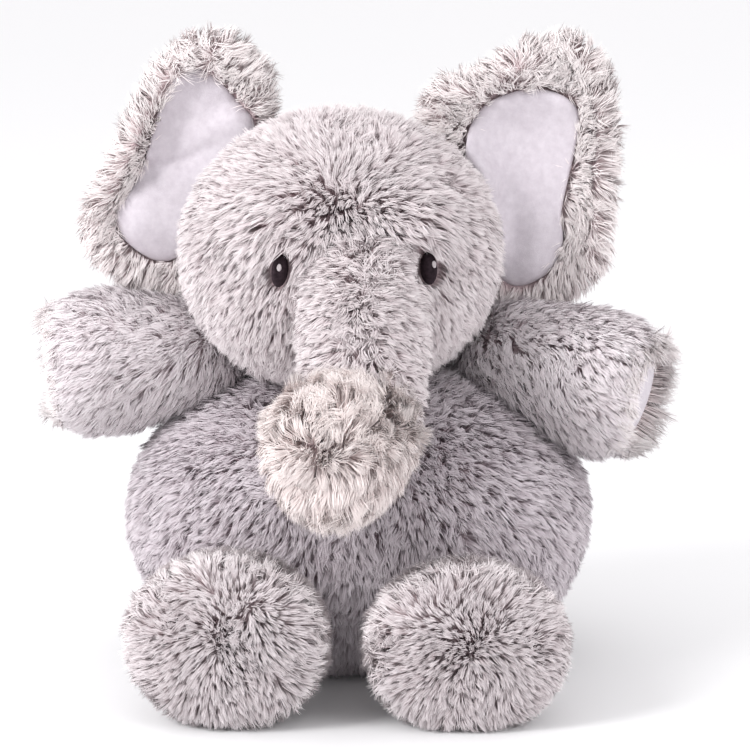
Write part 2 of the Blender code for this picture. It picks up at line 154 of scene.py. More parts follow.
class Finish:
    """A material with its nodes: constants go on the shader's sockets, and node() makes the rest."""

    def __init__(self, name, roughness=0.8, **constants):
        self.material = bpy.data.materials.new(name)
        self.material.use_nodes = True
        self.tree = self.material.node_tree
        self.shader = self.tree.nodes["Principled BSDF"]
        self.shader.inputs["Roughness"].default_value = roughness
        for key, value in constants.items():
            self.shader.inputs[key.replace("_", " ")].default_value = value

    def node(self, kind, settings=None, sockets=(), out=0):
        made = self.tree.nodes.new(kind)
        for key, value in (settings or {}).items():
            if key == "stops":
                steps = made.color_ramp.elements
                while len(steps) < len(value):
                    steps.new(0.5)
                for step, (at, colour) in zip(steps, value):
                    step.position = at
                    step.color = (*colour, 1)
            else:
                setattr(made, key, value)
        pairs = sockets.items() if isinstance(sockets, dict) else enumerate(sockets)
        for key, value in pairs:
            if isinstance(value, Wire):
                self.tree.links.new(value.socket, made.inputs[key])
            else:
                made.inputs[key].default_value = value
        return Wire(self, made.outputs[out])

    def mix(self, share, one, two, how="MIX"):
        settings = {"data_type": "RGBA", "blend_type": how}
        return self.node("ShaderNodeMix", settings, {0: share, 6: one, 7: two}, 2)

    def noise(self, scale, detail=2.0, roughness=0.5):
        where = self.node("ShaderNodeTexCoord", out="Object")
        sockets = {"Vector": where, "Scale": scale, "Detail": detail, "Roughness": roughness}
        return self.node("ShaderNodeTexNoise", None, sockets)

    def show(self, wire, socket):
        self.tree.links.new(wire.socket, self.shader.inputs[socket])


def pile_finish(name, root, middle, tip, patch=0.30):
    """Dyed pile: dark at the roots, pale at the tips, each strand and each patch a little different."""
    look = Finish(name, 0.72, Sheen_Weight=0.2, Sheen_Roughness=0.5, Specular_IOR_Level=0.2)
    along = look.node("ShaderNodeAttribute", {"attribute_name": "along"}, out="Fac")
    tone = look.node("ShaderNodeAttribute", {"attribute_name": "tone"}, out="Fac")
    patches = look.noise(38.0, 3.0)
    reach = along + (patches - 0.5) * patch + (tone - 0.5) * 0.18
    dark = tuple(0.5 * r + 0.5 * m for r, m in zip(root, middle))
    stops = [(0.0, root), (0.24, dark), (0.52, middle), (0.95, tip)]
    dyed = look.node("ShaderNodeValToRGB", {"stops": stops}, [reach])
    worn = look.mix((tone - 0.5) * 0.6 + 0.2, dyed, (*tip, 1))
    look.show(worn, "Base Color")
    look.show(0.80 - tone * 0.16, "Roughness")
    return look.material


ROOT = (0.32, 0.185, 0.225)
GREY_MIDDLE = (0.47, 0.395, 0.435)
GREY_TIP = (0.79, 0.732, 0.768)
grey_pile = pile_finish("grey_pile", ROOT, GREY_MIDDLE, GREY_TIP)
backing = Finish("knitted_backing", 0.9, Sheen_Weight=0.2)
knit = backing.mix(backing.noise(900.0), (0.42, 0.29, 0.32, 1), (0.58, 0.48, 0.50, 1))
backing.show(knit, "Base Color")
backing = backing.material


def stuffed_ball(name, centre, radii):
    """A round stuffed form at its place and size."""
    bpy.ops.object.select_all(action="DESELECT")
    bpy.ops.mesh.primitive_uv_sphere_add(segments=24, ring_count=12, radius=1, location=centre)
    made = bpy.context.object
    made.name = name
    made.scale = radii
    bpy.ops.object.transform_apply(location=True, rotation=True, scale=True)
    return made


def press(piece, spot, move, reach):
    """Pushes the skin near a spot, as a thumb does, and fades out over the reach."""
    for vert in piece.data.vertices:
        near = (vert.co - spot).length / reach
        if near < 1:
            vert.co += move * (1 - near * near) ** 2


def finish_skin(piece, body, look, nodes, levels=1):
    """Smooths a skin, gives it its finish and says which solids it stands for."""
    bpy.ops.object.select_all(action="DESELECT")
    piece.select_set(True)
    bpy.context.view_layer.objects.active = piece
    smooth = piece.modifiers.new("smooth", "SUBSURF")
    smooth.levels = smooth.render_levels = levels
    bpy.ops.object.modifier_apply(modifier="smooth")
    bpy.ops.object.shade_smooth()
    piece.data.materials.append(look)
    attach(piece, body)
    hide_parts(*nodes)


def rows(collection, key, width, kind=np.float64):
    """One property of every vertex or face, a row for each."""
    values = np.empty(len(collection) * width, kind)
    collection.foreach_get(key, values)
    return values.reshape(-1, width)


def unit(vectors):
    return vectors / np.maximum(np.linalg.norm(vectors, axis=1, keepdims=True), 1e-9)


def at_roots(value, root):
    """A plain number is the same at every root, and a rule is worked out at each."""
    return value(root) if callable(value) else np.full(len(root), float(value))


def sow(name, skin, body, look, density, length, comb, where=None, lift=1.0, width=0.42, clump=14,
        gather=0.45, stray=0.20, swirl=0.8, tousle=0.25, seed=1, bare=None,
        lit=(0, 0, 0)):
    """Pile on a skin: density strands on each square centimetre, drawn together in clumps. Each strand
    is a flat blade of three triangles that stands up and then bends over the way it is combed. Loose
    pile that light shines through is shaded as if it also faced lit."""
    rng = np.random.default_rng(seed)
    mesh = skin.data
    mesh.calc_loop_triangles()
    points = rows(mesh.vertices, "co", 3)
    normals = rows(mesh.vertex_normals, "vector", 3)
    corners = rows(mesh.loop_triangles, "vertices", 3, np.int32)
    along_slant = points @ SLANT
    corners = np.take_along_axis(corners, np.argsort(along_slant[corners], axis=1), axis=1)
    corners = corners[np.argsort(along_slant[corners].sum(axis=1))]
    a, b, c = (points[corners[:, i]] for i in range(3))
    areas = np.linalg.norm(np.cross(b - a, c - a), axis=1) / 2
    count = round(areas.sum() * 1e2 * density) * 100
    picks = rng.choice(len(corners), count, p=areas / areas.sum())
    u, v = rng.random((2, count))
    flip = u + v > 1
    u[flip], v[flip] = 1 - u[flip], 1 - v[flip]
    weights = np.stack([1 - u - v, u, v], axis=1)[:, :, None]
    root = (points[corners[picks]] * weights).sum(axis=1)
    normal = unit((normals[corners[picks]] * weights).sum(axis=1))

    centres = rng.choice(count, max(count // clump, 1), replace=False)
    tree = KDTree(len(centres))
    for i, centre in enumerate(centres):
        tree.insert(root[centre], i)
    tree.balance()
    group = np.array([tree.find(p)[1] for p in root])
    middle_of = centres[group]
    waver = np.array([noise_vector(root[centre] * SWIRL_SCALE) for centre in centres])
    waver = waver * at_roots(swirl, root[centres])[:, None]
    loose = at_roots(tousle, root[centres])[:, None] * rng.normal(0, 1, (len(centres), 3))
    waver = (waver + loose)[group]
    group_tone, group_length, group_rise = rng.normal(0, 1, (3, len(centres)))[:, group]

    lay = comb(root, normal) + waver + rng.normal(0, stray, (count, 3))
    lay = unit(lay - (lay * normal).sum(axis=1, keepdims=True) * normal)
    rise = at_roots(lift, root) + rng.normal(0, 0.08, count) + 0.12 * group_rise
    long = at_roots(length, root) * MM * (1 + 0.07 * rng.normal(0, 1, count) + 0.08 * group_length)
    first, last = (rise + 0.20)[:, None], (rise - 0.40)[:, None]
    start = lay * np.cos(first) + normal * np.sin(first)
    onward = lay * np.cos(last) + normal * np.sin(last)
    onward[:, 2] -= SAG
    onward = unit(onward)
    middle = root + start * (BEND_AT * long)[:, None]
    tip = middle + onward * ((1 - BEND_AT) * long)[:, None]
    pull = (gather * rng.uniform(0.6, 1.0, count))[:, None]
    tip += (tip[middle_of] - tip) * pull
    middle += (middle[middle_of] - middle) * pull * 0.7
    roll = rng.normal(0, 0.8, count)[:, None]
    shade = np.clip(0.5 + 0.15 * group_tone + 0.10 * rng.normal(0, 1, count), 0, 1)
    keep = np.ones(count, bool) if where is None else where(root, normal)
    if bare is not None:
        keep &= ~(bare(middle) | bare(tip))
    root, normal, middle, tip = root[keep], normal[keep], middle[keep], tip[keep]
    roll, shade, waver, count = roll[keep], shade[keep], waver[keep], int(keep.sum())
    across = unit(np.cross(tip - root, normal))
    upward = unit(np.cross(across, tip - root))
    half = (across * np.cos(roll) + upward * np.sin(roll)) * (width * MM / 2)
    facing = unit(np.cross(half, tip - root))
    outward = normal + lit
    turned = np.where((facing * outward).sum(axis=1, keepdims=True) < 0, -1, 1)
    half, facing = half * turned, facing * turned
    shading = unit(outward + facing * 0.32 + waver * 0.25)
    root = root - normal * ROOT_DEPTH
    strands = np.stack([root - half * 0.8, root + half * 0.8, middle - half, middle + half, tip], axis=1)
    strands[:, :, 2] = np.maximum(strands[:, :, 2], LOWEST_PILE)

    made = bpy.data.meshes.new(name)
    made.vertices.add(count * 5)
    made.vertices.foreach_set("co", strands.ravel())
    strand = np.arange(count)[:, None]
    order = strand * 5 + [0, 1, 3, 2, 2, 3, 4]
    made.loops.add(count * 7)
    made.loops.foreach_set("vertex_index", order.ravel().astype(np.int32))
    starts = strand * 7 + [0, 4]
    made.polygons.add(count * 2)
    made.polygons.foreach_set("loop_start", starts.ravel().astype(np.int32))
    made.update(calc_edges=True)
    made.shade_smooth()
    made.normals_split_custom_set_from_vertices(np.repeat(shading, 5, axis=0))
    along = made.attributes.new("along", "FLOAT", "POINT")
    along.data.foreach_set("value", np.tile([0, 0, BEND_AT, BEND_AT, 1.0], count))
    tone = made.attributes.new("tone", "FLOAT", "POINT")
    tone.data.foreach_set("value", np.repeat(shade, 5))
    spread = made.uv_layers.new(name="strand")
    sides = np.array([0, 1, 1, 0, 0, 1, 0.5])
    rise_at = np.array([0, 0, BEND_AT, BEND_AT, BEND_AT, BEND_AT, 1.0])
    spread.uv.foreach_set("vector", np.tile(np.stack([sides, rise_at], 1), (count, 1)).ravel())
    piece = bpy.data.objects.new(name, made)
    bpy.context.scene.collection.objects.link(piece)
    made.materials.append(look)
    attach(piece, body)
    return piece


def clear_of(points, centre, radii):
    """True where a point is outside an egg."""
    return (((points - np.array(centre)) / np.array(radii)) ** 2).sum(axis=1) > 1


body_skin = stuffed_ball("body_skin", BODY, BODY_RADII)
for vert in body_skin.data.vertices:
    if vert.co.z < BODY.z:
        vert.co.z = max(BODY.z + (vert.co.z - BODY.z) * BODY_BELOW, SEAT_LEVEL)
for vert in body_skin.data.vertices:
    seam = math.exp(-((vert.co.x - BODY.x) / FRONT_SEAM_WIDTH) ** 2)
    if vert.co.y < BODY.y and vert.co.z < FRONT_SEAM_TOP:
        vert.co.y += FRONT_SEAM_DEPTH * seam
finish_skin(body_skin, "torso", backing,
            ["body_cover_front_left", "body_cover_front_right", "body_cover_back", "body_stuffing",
             "pellet_bag"])

HEAD = here(-5, -14, 188)


def down_and_out(root, normal):
    """The belly is combed down, and away from the seam in front."""
    lay = np.zeros_like(root)
    lay[:, 0] = 9.0 * (root[:, 0] - BODY.x)
    lay[:, 2] = -0.8
    return lay


def body_panel(in_front, to_left):
    """Where one panel's pile grows: not deep under the head, and on the seat only at its edge."""
    def grows(root, normal):
        seen = clear_of(root, HEAD, (56 * MM, 46 * MM, 62 * MM)) & (normal[:, 2] > -0.90)
        on_panel = (root[:, 1] < BODY_SIDE_SEAM) == in_front
        if in_front:
            on_panel &= (root[:, 0] > MIDDLE.x) == to_left
        return seen & on_panel
    return grows


BODY_PANELS = (("body_pile_front_left", True, True, FRONT_DENSITY),
               ("body_pile_front_right", True, False, FRONT_DENSITY),
               ("body_pile_back", False, False, BACK_DENSITY))
for seed, (name, in_front, to_left, density) in enumerate(BODY_PANELS):
    sow(name, body_skin, "torso", grey_pile, density, BODY_PILE_LENGTH, down_and_out,
        body_panel(in_front, to_left), lift=1.05, seed=10 + seed)

# ---- Head ------------------------------------------------------------------------------------------
# A wide stuffed egg of two side panels and a back panel, with brows that overhang the eyes, on a neck
# that turns and tips.
HEAD_RADII = Vector((66.5, 54.5, 57.5)) * MM
head_skin = stuffed_ball("head_skin", HEAD, HEAD_RADII)
for x in (-1, 1):
    press(head_skin, here(30 * x, -60, 208), Vector((0, -15, -1)) * MM, 18 * MM)
    press(head_skin, here(1.5 + 32 * x, -60, 186), Vector((0, 5, 0)) * MM, 14 * MM)
    press(head_skin, here(-3 + 42 * x, -48, 166), Vector((x * 1.5, -3, -1)) * MM, 28 * MM)
finish_skin(head_skin, "head", backing,
            ["head_cover_left", "head_cover_right", "head_cover_back", "head_stuffing"])

BROWS = (here(31, -62, 206), here(-31, -62, 205))
FOREHEAD = here(-2, -62, 216)
EYES = {"left": here(33.7, -58, 187.2), "right": here(-30.4, -58, 187)}


def near_to(root, spot, reach):
    """1 at a spot, fading out over the reach in millimetres."""
    return np.exp(-(np.linalg.norm(root - np.array(spot), axis=1) / (reach * MM)) ** 2)


def from_forehead(root, normal):
    """The face is combed away from a whorl between the brows, and the back of the head down."""
    lay = unit(root - np.array(here(-4, -66, 222)))
    lay[:, 2] -= 0.35
    for brow in BROWS:
        lay += near_to(root, brow, 16)[:, None] * [0.9 if brow.x > HEAD.x else -0.9, 0, -0.9]
    return lay


def over_eye(points):
    """True on an eye, where no strand may lie."""
    hides = np.zeros(len(points), bool)
    for eye in EYES.values():
        off = (points - np.array(eye)) / np.array([4.3 * MM, 1, 7.6 * MM])
        hides |= (off[:, 0] ** 2 + off[:, 2] ** 2 < 1) & (points[:, 1] < MIDDLE.y)
    return hides


def face_swirl(root):
    """Between the brows the pile lies every way."""
    return 0.8 + 0.9 * near_to(root, FOREHEAD, 34)


def face_tousle(root):
    """The pile of the brows stands in loose tufts."""
    return 0.25 + 0.45 * sum(near_to(root, brow, 18) for brow in BROWS)


def face_lift(root):
    """The pile stands straight up between the brows, and lies over the edges of the eyes."""
    lift = 1.05 + 0.25 * near_to(root, FOREHEAD, 36)
    return lift - 0.35 * sum(near_to(root, brow, 15) for brow in BROWS)


def face_length(root):
    """Longer on the brows, and sheared close round the eyes."""
    long = 10.0 + 5.5 * sum(near_to(root, brow, 15) for brow in BROWS)
    under_eyes = [eye + Vector((0, 0, -4 * MM)) for eye in EYES.values()]
    return long - 4.0 * sum(near_to(root, spot, 9) for spot in under_eyes)


HEAD_SIDE_SEAM = MIDDLE.y + 14 * MM
FACE_SEAM = HEAD.x + 5 * MM
FACE_DENSITY, NAPE_DENSITY = 330, 240
HEAD_PANELS = (
    ("head_pile_left", lambda p, n: (p[:, 1] < HEAD_SIDE_SEAM) & (p[:, 0] > FACE_SEAM), FACE_DENSITY),
    ("head_pile_right", lambda p, n: (p[:, 1] < HEAD_SIDE_SEAM) & (p[:, 0] <= FACE_SEAM), FACE_DENSITY),
    ("head_pile_back", lambda p, n: p[:, 1] >= HEAD_SIDE_SEAM, NAPE_DENSITY),
)
head_pile = pile_finish("head_pile", (0.44, 0.26, 0.285), (0.59, 0.50, 0.52), (0.845, 0.785, 0.795),
                        0.34)
for seed, (name, panel, density) in enumerate(HEAD_PANELS):
    sow(name, head_skin, "head", head_pile, density, face_length, from_forehead,
        lambda p, n: panel(p, n) & ~over_eye(p), lift=face_lift, swirl=face_swirl, tousle=face_tousle,
        seed=20 + seed, bare=over_eye)

# ---- Eyes ------------------------------------------------------------------------------------------
# Upright ovals in black satin stitch, each with a painted highlight: a small pale oval laid on it for the
# glint of light.
thread = Finish("black_thread", 0.75, Specular_IOR_Level=0.12)
satin = thread.mix(thread.noise(800.0), (0.006, 0.003, 0.005, 1), (0.050, 0.032, 0.040, 1))
thread.show(satin, "Base Color")
painted_highlight = Finish("painted_highlight", 0.45)
pale = painted_highlight.mix(painted_highlight.noise(1400.0), (0.36, 0.31, 0.33, 1), (0.62, 0.57, 0.58, 1))
painted_highlight.show(pale, "Base Color")
EYE_RADII = (3.6 * MM, 4.0 * MM, 7.2 * MM)
HIGHLIGHT_RADII = (1.05 * MM, 0.7 * MM, 1.65 * MM)
HIGHLIGHT_PLACE = Vector((0.7, -3.7, 2.1)) * MM
STITCHES = 32                            # ridges of thread round an eye


def raised_oval(name, spot, radii, look, tilt):
    """A raised oval that faces straight out of the head, for an eye's satin stitch and its painted
    highlight. Its turn is given too.
    """
    bpy.ops.object.select_all(action="DESELECT")
    bpy.ops.mesh.primitive_uv_sphere_add(segments=64, ring_count=24, radius=1,
                                         rotation=(math.radians(90), 0, 0))
    made = bpy.context.object
    made.name = name
    bpy.ops.object.transform_apply(rotation=True)
    for vert in made.data.vertices:
        vert.co.y *= 1 + 0.035 * math.cos(STITCHES * math.atan2(vert.co.z, vert.co.x))
    out = Vector(((spot.x - HEAD.x) / HEAD_RADII.x ** 2, (spot.y - HEAD.y) / HEAD_RADII.y ** 2,
                  (spot.z - HEAD.z) / HEAD_RADII.z ** 2)).normalized()
    turn = out.to_track_quat("-Y", "Z").to_matrix().to_4x4() @ Matrix.Rotation(tilt, 4, "Y")
    made.matrix_world = Matrix.Translation(spot) @ turn @ Matrix.Diagonal((*radii, 1))
    bpy.ops.object.transform_apply(location=True, rotation=True, scale=True)
    bpy.ops.object.shade_smooth()
    made.data.materials.append(look.material)
    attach(made, "head")
    return made, turn


for side, tilt in (("left", math.radians(-4)), ("right", math.radians(8))):
    low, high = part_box(f"eye_{side}")
    spot = Vector((EYES[side].x, (low.y + high.y) / 2 - 0.5 * MM, EYES[side].z))
    eye, turn = raised_oval(f"eye_{side}_stitches", spot, EYE_RADII, thread, tilt)
    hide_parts(f"eye_{side}")
    # The highlight is painted light: a pale oval standing in for the glint of the lamps on the satin.
    glint = spot + turn.to_3x3() @ HIGHLIGHT_PLACE
    raised_oval(f"eye_{side}_highlight", glint, HIGHLIGHT_RADII, painted_highlight, tilt)

# ---- Neck ------------------------------------------------------------------------------------------
# The stuffed neck is out of sight between head and body, and keeps its own shape in white fibre fill.
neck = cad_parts["neck_stuffing"]
fibre = Finish("fibre_fill", 0.95, Sheen_Weight=0.3)
wool = fibre.mix(fibre.noise(600.0, 4.0), (0.80, 0.80, 0.79, 1), (0.95, 0.95, 0.94, 1))
fibre.show(wool, "Base Color")
for holder in neck.material_slots:
    holder.material = fibre.material

# ---- Trunk -----------------------------------------------------------------------------------------
# Three stuffed lengths: the root on the face, the middle that hangs, and the end that turns forward to
# a fluffy cream mouth. The pile is parted along the middle of the front.
TRUNK_START = here(5, -42, 190)
TRUNK_BEND = here(6, -83, 161)
TRUNK_CURL = here(4, -98, 123)
TRUNK_TIP = here(-10, -128.5, 116)
DOME = 0.85                              # a tube's round start is this much flatter than half a ball


def stuffed_tube(name, start, end, stations, segments=20):
    """A closed tube from start to end. Stations are (distance, radius) in millimetres: a ring is
    extruded from one to the next, and both ends are gathered to a point."""
    bpy.ops.object.select_all(action="DESELECT")
    first, radius = stations[0]
    bpy.ops.mesh.primitive_circle_add(vertices=segments, radius=radius * MM, location=(0, 0, first * MM))
    made = bpy.context.object
    made.name = name
    bpy.ops.object.transform_apply(location=True)
    bpy.ops.object.mode_set(mode="EDIT")
    bpy.ops.mesh.select_all(action="SELECT")
    bpy.ops.mesh.extrude_region_move()
    bpy.ops.mesh.merge(type="CENTER")
    bpy.ops.object.mode_set(mode="OBJECT")
    bm = bmesh.new()
    bm.from_mesh(made.data)
    ring = [v for v in bm.verts if len(v.link_edges) == 3]
    edges = [e for e in bm.edges if e.verts[0] in ring and e.verts[1] in ring]
    for (_, r0), (z1, r1) in zip(stations, stations[1:]):
        grown = bmesh.ops.extrude_edge_only(bm, edges=edges)["geom"]
        edges = [g for g in grown if isinstance(g, bmesh.types.BMEdge)]
        for vert in (g for g in grown if isinstance(g, bmesh.types.BMVert)):
            vert.co = Vector((vert.co.x * r1 / r0, vert.co.y * r1 / r0, z1 * MM))
        edges = [e for e in edges if all(abs(v.co.z - z1 * MM) < 1e-7 for v in e.verts)]
    last = bm.verts.new((0, 0, stations[-1][0] * MM))
    for e in edges:
        bm.faces.new((*e.verts, last))
    bmesh.ops.remove_doubles(bm, verts=bm.verts, dist=1e-6)
    bmesh.ops.recalc_face_normals(bm, faces=bm.faces)
    turn = (end - start).to_track_quat("Z", "Y").to_matrix().to_4x4()
    bm.transform(Matrix.Translation(start) @ turn)
    bm.to_mesh(made.data)
    bm.free()
    return made


def domed(radius, length, last):
    """Stations of a tube with round ends, from one radius to the last one."""
    stations = []
    for i in range(5):
        a = math.radians(12 + 78 * i / 4)
        stations.append((-radius * math.cos(a) * DOME, radius * math.sin(a)))
    for i in range(1, 5):
        stations.append((length * i / 4, radius + (last - radius) * i / 4))
    for i in range(1, 5):
        a = math.radians(78 * i / 4)
        stations.append((length + last * 0.8 * math.sin(a), last * math.cos(a)))
    return stations


def parted(root, normal):
    """The trunk is combed to both sides of its front, and down."""
    lay = np.tile([0.0, 0.2, -0.9], (len(root), 1))
    lay[:, 0] = np.clip((root[:, 0] - (MIDDLE.x + 6 * MM)) / (14 * MM), -1, 1) * 1.3
    return lay


trunk_base = stuffed_tube("trunk_base_skin", TRUNK_START, TRUNK_BEND,
                          domed(24, (TRUNK_BEND - TRUNK_START).length / MM, 21.5))
finish_skin(trunk_base, "head", backing, ["trunk_base_cover", "trunk_base_stuffing"])
sow("trunk_base_pile", trunk_base, "head", head_pile, 350, 10.0, parted,
    lambda p, n: clear_of(p, HEAD, HEAD_RADII * 0.97), swirl=1.1, tousle=0.5, seed=31, bare=over_eye)
trunk_middle = stuffed_tube("trunk_middle_skin", TRUNK_BEND, TRUNK_CURL,
                            domed(21.5, (TRUNK_CURL - TRUNK_BEND).length / MM, 19))
finish_skin(trunk_middle, "trunk_middle", backing,
            ["trunk_middle_cover", "trunk_middle_stuffing"])
sow("trunk_middle_pile", trunk_middle, "trunk_middle", head_pile, 300, 10.0, parted,
    swirl=1.1, tousle=0.5, seed=32)
tip_length = (TRUNK_TIP - TRUNK_CURL).length / MM
trunk_end = stuffed_tube("trunk_end_skin", TRUNK_CURL, TRUNK_TIP, domed(19.5, tip_length - 6, 22))
lips = TRUNK_TIP + (TRUNK_TIP - TRUNK_CURL).normalized() * 10 * MM
press(trunk_end, lips + Vector((-3, 0, 12)) * MM, Vector((-1, -4, 1)) * MM, 14 * MM)
press(trunk_end, lips + Vector((0, 0, -3)) * MM, Vector((0, 8, 0)) * MM, 11 * MM)
for x in (-9, 10):
    press(trunk_end, lips + Vector((x, 0, -14)) * MM, Vector((0.1 * x, -2, -3)) * MM, 11 * MM)
finish_skin(trunk_end, "trunk_end", backing,
            ["trunk_end_cover", "trunk_end_stuffing", "trunk_tip_disc"])
TIP_WAY = np.array((TRUNK_TIP - TRUNK_CURL).normalized())
cream_pile = pile_finish("cream_pile", (0.70, 0.51, 0.50), (0.80, 0.685, 0.67), (0.91, 0.835, 0.82),
                         0.14)


def out_of_mouth(root, normal):
    """Round the trunk's end the pile is combed towards the tip, and in the mouth out from its middle."""
    off = root - np.array(TRUNK_TIP) - np.array([0, 0, 5 * MM])
    flat = off - (off @ TIP_WAY)[:, None] * TIP_WAY
    facing = (normal @ TIP_WAY)[:, None]
    lay = TIP_WAY * (1 - facing) + flat / (15 * MM) * np.clip(facing, 0, 1)
    lay[:, 2] += 0.8 * np.tanh((off[:, 2] + 1 * MM) / (4 * MM)) - 0.25
    return lay


def in_mouth(root, normal):
    """The cream pile covers the mouth and the tube's last length round it."""
    return (normal @ TIP_WAY > -0.45) | (root[:, 1] < TRUNK_TIP.y + 22 * MM)


def mouth_length(root):
    """The tufts are longest on top and hang longest below."""
    return 11.5 + 4.5 * np.abs(np.clip((root[:, 2] - TRUNK_TIP.z) / (16 * MM), -1, 1))


def mouth_lift(root):
    """The pile stands out above the middle of the mouth and hangs flat below it."""
    below = np.clip((TRUNK_TIP.z - root[:, 2]) / (18 * MM), 0, 1)
    return 0.95 + 0.3 * near_to(root, lips + Vector((0, 0, 4 * MM)), 10) - 0.35 * below


sow("trunk_end_pile", trunk_end, "trunk_end", head_pile, 300, 10.5, out_of_mouth,
    lambda p, n: ~in_mouth(p, n), seed=33)
sow("trunk_mouth_pile", trunk_end, "trunk_end", cream_pile, 540, mouth_length, out_of_mouth,
    in_mouth, lift=mouth_lift, width=0.36, clump=60, gather=0.38, stray=0.30, swirl=1.2, tousle=0.6,
    seed=34, lit=(-0.2, -0.5, 0.5))

# ---- Ears ------------------------------------------------------------------------------------------
# Wide flat flaps. The back and a broad rim in front are pile fabric, and the lining inside the rim is
# short-nap velboa, drawn in at its seam and folded near the root.
EAR_FRONT = 15                           # how far behind the toy's axis the ears' front lies
EAR_LEFT = ((36, 247), (60, 262), (88, 277), (107, 272), (114, 246), (113, 208), (111, 181), (97, 167),
            (76, 161), (60, 178))
EAR_RIGHT = ((-41, 251), (-49, 271), (-65, 279), (-87, 262), (-106, 222), (-118, 196), (-105, 176),
             (-87, 167), (-68, 160), (-58, 180))
LINING_LEFT = ((51, 230), (59, 250), (77, 258), (92, 257), (102, 250), (103, 238), (98, 214), (95.5, 200),
               (96.5, 188), (90, 174), (72, 168), (56, 190))
LINING_RIGHT = ((-44, 238), (-52, 253), (-67, 267), (-80, 263), (-88, 248), (-95, 224), (-101, 213),
                (-108, 200), (-103, 188), (-84, 179), (-62, 200))
EAR_LAYERS = ((0.3, 7.0), (0.6, 6.8), (0.76, 4.5), (0.88, 1.2), (0.95, 1.5), (0.99, 4), (0.98, 7),
              (0.92, 9), (0.5, 11))
LINING_LAYERS = ((0.08, 1.0), (0.25, 1.0), (0.42, 0.9), (0.58, 0.6), (0.72, 0.2), (0.84, -0.3),
                 (0.93, -0.4), (0.985, 0.6), (1.0, 2.2), (0.96, 3.4), (0.5, 3.5))
velboa = Finish("velboa", 0.85, Sheen_Weight=0.25, Sheen_Roughness=0.4, Specular_IOR_Level=0.2)
brushed = velboa.mix(velboa.noise(260.0, 4.0, 0.65), (0.49, 0.44, 0.49, 1), (0.74, 0.695, 0.74, 1))
velboa.show(brushed, "Base Color")
nap = velboa.noise(2200.0, 3.0, 0.7)
nap_bump = velboa.node("ShaderNodeBump", None, {"Strength": 0.5, "Distance": 0.4 * MM, "Height": nap})
velboa.show(nap_bump, "Normal")
velboa = velboa.material
# The ears' pile is painted much paler than the head's: painted light for the lamp's light on the ear rims.
painted_lit_ear_pile = pile_finish("painted_lit_ear_pile", (0.70, 0.53, 0.545), (0.80, 0.71, 0.715), (0.95, 0.90, 0.895), 0.16)


def rounded(points, steps=5):
    """A smooth closed outline through the points."""
    count = len(points)
    flat = []
    for i in range(count):
        p, q, r, s = (Vector(points[(i + k) % count]) for k in (-1, 0, 1, 2))
        for k in range(steps):
            t = k / steps
            flat.append(0.5 * (2 * q + (r - p) * t + (2 * p - 5 * q + 4 * r - s) * t * t
                               + (3 * q - p - 3 * r + s) * t ** 3))
    return flat


def flap(name, outline, layers):
    """A padded flap and its middle. Each layer is a ring of the outline, drawn in to a share of its
    size, at a depth behind the ears' front."""
    middle = sum(outline, Vector((0, 0))) / len(outline)
    bm = bmesh.new()
    rings = []
    for share, y in layers:
        ring = [middle + (p - middle) * share for p in outline]
        rings.append([bm.verts.new(here(p.x, EAR_FRONT + y, p.y)) for p in ring])
    for one, two in zip(rings, rings[1:]):
        for i in range(len(outline)):
            j = (i + 1) % len(outline)
            bm.faces.new((one[i], one[j], two[j], two[i]))
    for ring, y in ((rings[0], layers[0][1]), (rings[-1], layers[-1][1])):
        centre = bm.verts.new(here(middle.x, EAR_FRONT + y, middle.y))
        for i in range(len(outline)):
            bm.faces.new((ring[i], ring[(i + 1) % len(outline)], centre))
    bmesh.ops.recalc_face_normals(bm, faces=bm.faces)
    mesh = bpy.data.meshes.new(name)
    bm.to_mesh(mesh)
    bm.free()
    made = bpy.data.objects.new(name, mesh)
    bpy.context.scene.collection.objects.link(made)
    return made, middle


# Folds of the velboa: from, to, how far forward and how wide, in millimetres.
LINING_FOLDS = {
    "left": (((50, 234), (61, 218), 9.0, 5), ((61, 218), (65, 186), 9.0, 5),
             ((80, 236), (78, 214), -3.5, 15), ((84, 196), (84, 178), 3.5, 9),
             ((66, 252), (96, 254), 1.5, 6)),
    "right": (((-93, 199), (-76, 196), 8.0, 13), ((-100, 217), (-62, 231), -3.5, 5),
              ((-62, 228), (-56, 212), 4.0, 9), ((-68, 262), (-80, 238), -2.5, 8),
              ((-48, 253), (-62, 250), -3.5, 3), ((-54, 243), (-50, 238), 4.0, 6)),
}


def fold(piece, start, end, move, reach):
    """Raises a ridge along a line, or a groove if the move is backwards."""
    run = end - start
    for vert in piece.data.vertices:
        at = min(max((vert.co - start).dot(run) / run.length_squared, 0), 1)
        off = vert.co - (start + run * at)
        off.y = 0
        vert.co.y += move * math.exp(-(off.length / reach) ** 2)


def inside_outline(points, outline):
    """True where a point in the plane of the ear lies inside a closed outline."""
    x, z = (points[:, 0] - MIDDLE.x) / MM, points[:, 2] / MM
    inside = np.zeros(len(points), bool)
    for p, q in zip(outline, outline[1:] + outline[:1]):
        crosses = (p.y > z) != (q.y > z)
        with np.errstate(divide="ignore", invalid="ignore"):
            inside ^= crosses & (x < (q.x - p.x) * (z - p.y) / (q.y - p.y) + p.x)
    return inside


